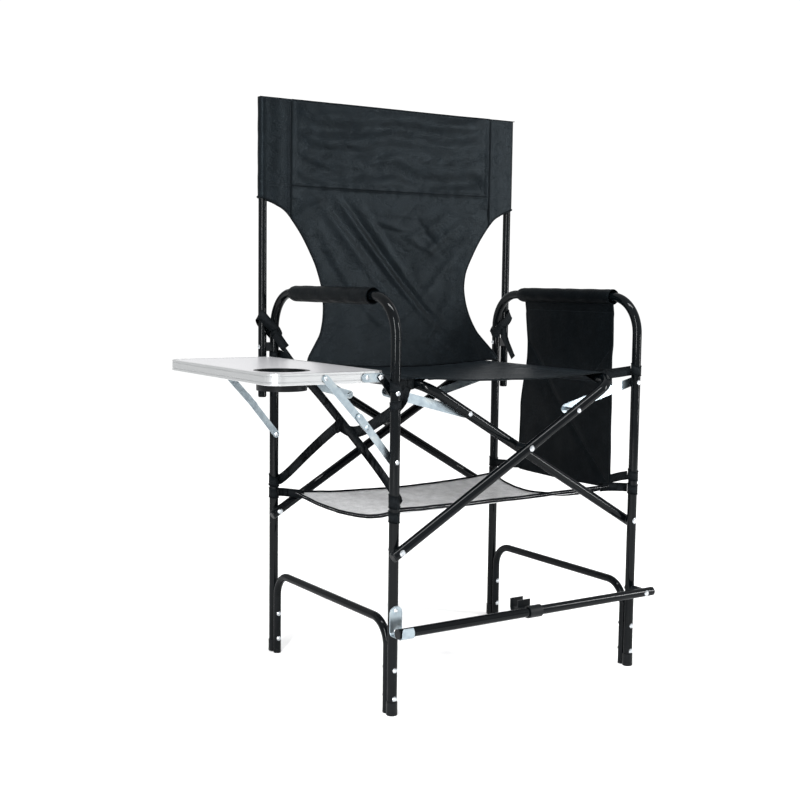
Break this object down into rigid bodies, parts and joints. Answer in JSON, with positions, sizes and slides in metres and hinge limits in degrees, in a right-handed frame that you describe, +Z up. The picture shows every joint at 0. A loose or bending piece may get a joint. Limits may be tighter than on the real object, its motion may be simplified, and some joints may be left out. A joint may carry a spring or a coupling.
{
  "type": "folding director chair with side table",
  "caption": "Folding director chair with cloth seat and waisted back, crossed side-folding frame, hinged side table with cup holder, hanging pouch, net shelf and swing-up foot bar.",
  "frame": {"origin": "centre of the whole footprint, on the floor the legs stand on", "axes": "+X towards the pouch side, away from the side table; +Y towards the back of the chair; +Z up"},
  "size_m": [0.8705, 0.5583, 1.17],
  "materials": {
    "black_tube": "gloss black powder coat",
    "zinc_steel": "blue-white zinc plate",
    "rivet_steel": "bright plated",
    "edge_aluminium": "ribbed, satin anodised",
    "table_laminate": "pale satin laminate",
    "black_plastic": "fine moulded grain",
    "nylon_spacer": "smooth",
    "back_cloth": "coated woven, slight sheen",
    "seat_cloth": "coated woven",
    "pouch_cloth": "matte woven",
    "sleeve_cloth": "padded, matte woven",
    "webbing": "ribbed black tape",
    "grey_mesh": "open knitted net, light grey"
  },
  "bodies": {
    "left_frame": {"left_hoop": "black_tube", "left_brace": "black_tube", "left_leg_feet": "black_plastic", "left_brace_feet": "black_plastic", "left_rivets": "rivet_steel", "left_washers": "nylon_spacer", "left_back_post": "black_tube", "left_post_plugs": "black_plastic", "left_post_brackets": "black_plastic", "left_post_strap": "webbing", "left_arm_sleeve": "sleeve_cloth", "side_straps": "webbing", "hinge_brackets": "black_tube", "footrest_hook": "zinc_steel", "mesh_shelf": "grey_mesh"},
    "right_frame": {"right_hoop": "black_tube", "right_brace": "black_tube", "right_leg_feet": "black_plastic", "right_brace_feet": "black_plastic", "right_rivets": "rivet_steel", "right_washers": "nylon_spacer", "right_back_post": "black_tube", "right_post_plugs": "black_plastic", "right_post_brackets": "black_plastic", "right_post_strap": "webbing", "side_pouch": "pouch_cloth", "pouch_straps": "webbing", "footrest_bush": "nylon_spacer", "back_fabric": "back_cloth"},
    "x_frame_a_body": {"x_frame_a": "black_tube", "x_frame_a_plugs": "black_plastic", "cross_bushes": "nylon_spacer", "cross_rivets": "rivet_steel", "x_frame_a_heads": "rivet_steel", "seat_fabric": "seat_cloth"},
    "x_frame_b_body": {"x_frame_b": "black_tube", "x_frame_b_plugs": "black_plastic", "x_frame_b_heads": "rivet_steel", "seat_straps": "webbing"},
    "tie_front_left": {"tie_bar_front_left": "zinc_steel"},
    "tie_rear_left": {"tie_bar_rear_left": "zinc_steel"},
    "tie_front_right": {"tie_bar_front_right": "zinc_steel"},
    "tie_rear_right": {"tie_bar_rear_right": "zinc_steel"},
    "table": {"table_top": "table_laminate", "table_frame": "edge_aluminium", "cup_holder": "black_plastic", "table_hinge_plates": "zinc_steel", "table_rivets": "rivet_steel"},
    "strut_lower_f": {"strut_lower_front": "zinc_steel"},
    "strut_lower_r": {"strut_lower_rear": "zinc_steel"},
    "strut_upper_f": {"strut_upper_front": "zinc_steel"},
    "strut_upper_r": {"strut_upper_rear": "zinc_steel"},
    "footrest": {"footrest_bar": "black_tube", "footrest_plugs": "black_plastic", "footrest_clip": "black_plastic"}
  },
  "joints": [
    {"name": "fold", "type": "hinge", "parent": "left_frame", "child": "x_frame_a_body", "pos_m": [-0.18965, -0.2461, 0.308], "axis": [0, -1, 0], "range_deg": [0, 49.68], "deforming": ["seat_fabric", "back_fabric", "mesh_shelf", "seat_straps", "side_straps"]},
    {"name": "cross", "type": "hinge", "parent": "x_frame_a_body", "child": "x_frame_b_body", "pos_m": [0.10385, -0.2461, 0.47963], "axis": [0, 1, 0], "range_deg": [0, 99.37]},
    {"name": "right_leg_pivot", "type": "hinge", "parent": "x_frame_b_body", "child": "right_frame", "pos_m": [0.39735, -0.2041, 0.308], "axis": [0, -1, 0], "range_deg": [0, 49.69]},
    {"name": "tie_front_left_turn", "type": "hinge", "parent": "left_frame", "child": "tie_front_left", "pos_m": [-0.18965, -0.1931, 0.595], "axis": [0, -1, 0], "range_deg": [0, 93.79]},
    {"name": "tie_rear_left_turn", "type": "hinge", "parent": "left_frame", "child": "tie_rear_left", "pos_m": [-0.18965, 0.2339, 0.595], "axis": [0, -1, 0], "range_deg": [0, 93.79]},
    {"name": "tie_front_right_turn", "type": "hinge", "parent": "right_frame", "child": "tie_front_right", "pos_m": [0.39735, -0.2121, 0.595], "axis": [0, 1, 0], "range_deg": [0, 93.79]},
    {"name": "tie_rear_right_turn", "type": "hinge", "parent": "right_frame", "child": "tie_rear_right", "pos_m": [0.39735, 0.2149, 0.595], "axis": [0, 1, 0], "range_deg": [0, 93.79]},
    {"name": "footrest_swing", "type": "hinge", "parent": "right_frame", "child": "footrest", "pos_m": [0.39735, -0.2671, 0.1644], "axis": [0, 1, 0], "range_deg": [0, 90.02]},
    {"name": "table_fold", "type": "hinge", "parent": "left_frame", "child": "table", "pos_m": [-0.21415, -0.2121, 0.623], "axis": [0, -1, 0], "range_deg": [0, 90]},
    {"name": "strut_lower_front_turn", "type": "hinge", "parent": "left_frame", "child": "strut_lower_f", "pos_m": [-0.18965, -0.2141, 0.47], "axis": [0, -1, 0], "range_deg": [0, 129.6]},
    {"name": "strut_lower_rear_turn", "type": "hinge", "parent": "left_frame", "child": "strut_lower_r", "pos_m": [-0.18965, 0.2359, 0.47], "axis": [0, -1, 0], "range_deg": [0, 129.6]},
    {"name": "strut_upper_front_turn", "type": "hinge", "parent": "table", "child": "strut_upper_f", "pos_m": [-0.32615, -0.2121, 0.624], "axis": [0, 1, 0], "range_deg": [0, 125.9]},
    {"name": "strut_upper_rear_turn", "type": "hinge", "parent": "table", "child": "strut_upper_r", "pos_m": [-0.32615, 0.2339, 0.624], "axis": [0, 1, 0], "range_deg": [0, 125.9]}
  ],
  "couplings": [
    {"joint": "cross", "follows": "fold", "ratio": 2},
    {"joint": "right_leg_pivot", "follows": "fold", "ratio": 1},
    {"joint": "tie_front_left_turn", "follows": "fold", "ratio": 1.8877},
    {"joint": "tie_rear_left_turn", "follows": "fold", "ratio": 1.8877},
    {"joint": "tie_front_right_turn", "follows": "fold", "ratio": 1.8877},
    {"joint": "tie_rear_right_turn", "follows": "fold", "ratio": 1.8877},
    {"joint": "footrest_swing", "follows": "fold", "ratio": 1.8115},
    {"joint": "strut_lower_front_turn", "follows": "table_fold", "ratio": 1.439},
    {"joint": "strut_lower_rear_turn", "follows": "table_fold", "ratio": 1.439},
    {"joint": "strut_upper_front_turn", "follows": "table_fold", "ratio": 1.398},
    {"joint": "strut_upper_rear_turn", "follows": "table_fold", "ratio": 1.398}
  ]
}
